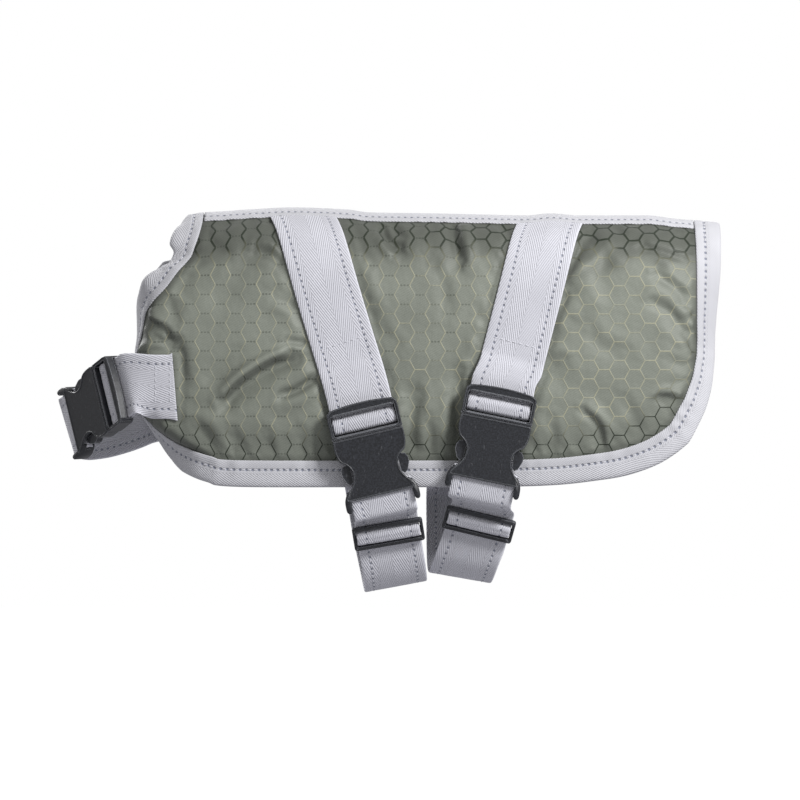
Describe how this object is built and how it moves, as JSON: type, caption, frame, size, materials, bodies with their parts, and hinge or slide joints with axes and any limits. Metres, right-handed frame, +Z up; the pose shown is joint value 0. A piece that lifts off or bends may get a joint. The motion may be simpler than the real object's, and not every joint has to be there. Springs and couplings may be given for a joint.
{
  "type": "dog coat",
  "caption": "Padded dog coat with taped edges, two belly straps and a chest strap, each closed by a side-release buckle.",
  "frame": {"origin": "under the back seam, halfway along the coat, where the wearer's back holds it", "axes": "+X towards the tail end, +Y towards the dog's right side, +Z up"},
  "size_m": [0.3979, 0.103, 0.2314],
  "materials": {
    "cloth": "olive-grey coated ripstop with a hexagon grid, padded",
    "tape": "light grey woven binding tape, herringbone",
    "webbing": "light grey woven webbing, herringbone",
    "plastic": "black, finely grained"
  },
  "bodies": {
    "root": {"side_panel_left": "cloth", "side_panel_right": "cloth", "neck_binding": "tape", "hem_binding": "tape", "spine_tape": "tape", "front_strap_left": "webbing", "front_strap_right": "webbing", "rear_strap_left": "webbing", "rear_strap_right": "webbing", "chest_strap_left": "webbing", "chest_strap_right": "webbing", "front_buckle_plug": "plastic", "front_buckle_socket": "plastic", "rear_buckle_plug": "plastic", "rear_buckle_socket": "plastic", "chest_buckle_plug": "plastic", "chest_buckle_socket": "plastic", "front_slider": "plastic", "rear_slider": "plastic"}
  },
  "joints": []
}
